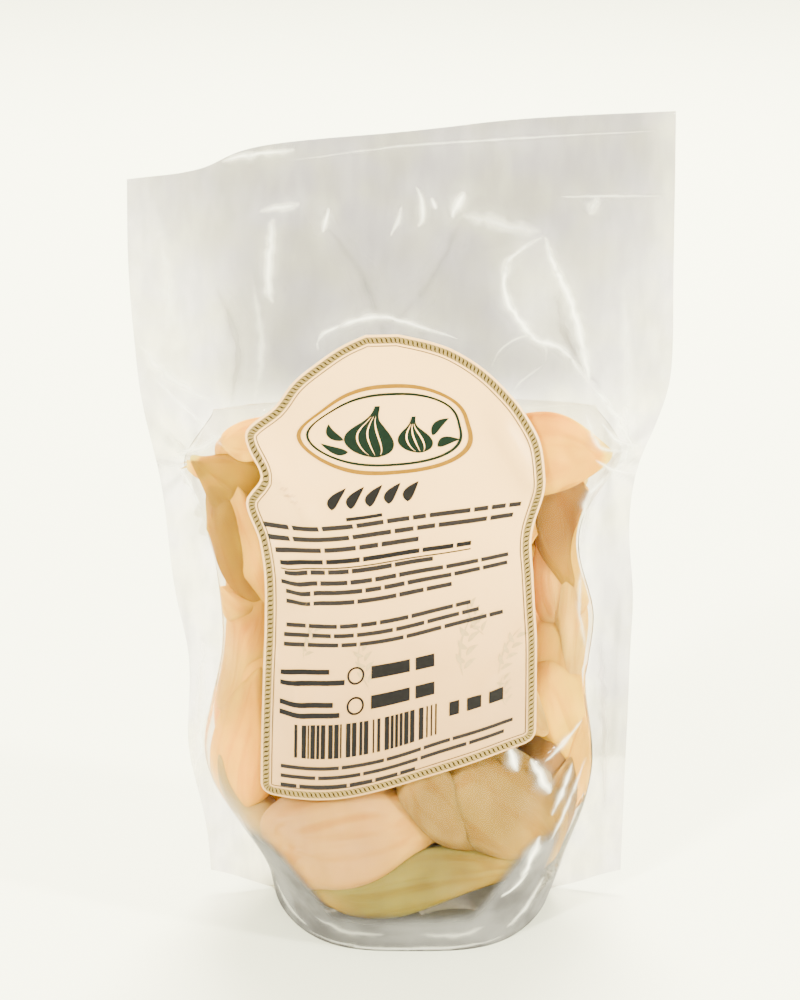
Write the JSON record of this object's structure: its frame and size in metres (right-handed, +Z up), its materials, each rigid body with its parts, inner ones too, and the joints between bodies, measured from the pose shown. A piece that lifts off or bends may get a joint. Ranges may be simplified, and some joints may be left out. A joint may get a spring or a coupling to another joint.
{
  "type": "stand-up pouch of pickled garlic cloves",
  "caption": "Clear stand-up film pouch, sealed, filled with pickled garlic cloves in brine, with an arched cream label on its front.",
  "frame": {"origin": "centre of the pouch's footprint box, on the surface it stands on", "axes": "+Z up along the pouch's height, -Y towards the label, +X to the right as seen from the label's side"},
  "size_m": [0.1182, 0.0606, 0.1875],
  "materials": {
    "film_and_contents": "clear glossy film over pale peach and yellow cloves in clear brine",
    "label_paper": "satin cream label with a rope border and plain printed fields"
  },
  "bodies": {
    "root": {"pouch": "film_and_contents", "label": "label_paper"}
  },
  "joints": []
}
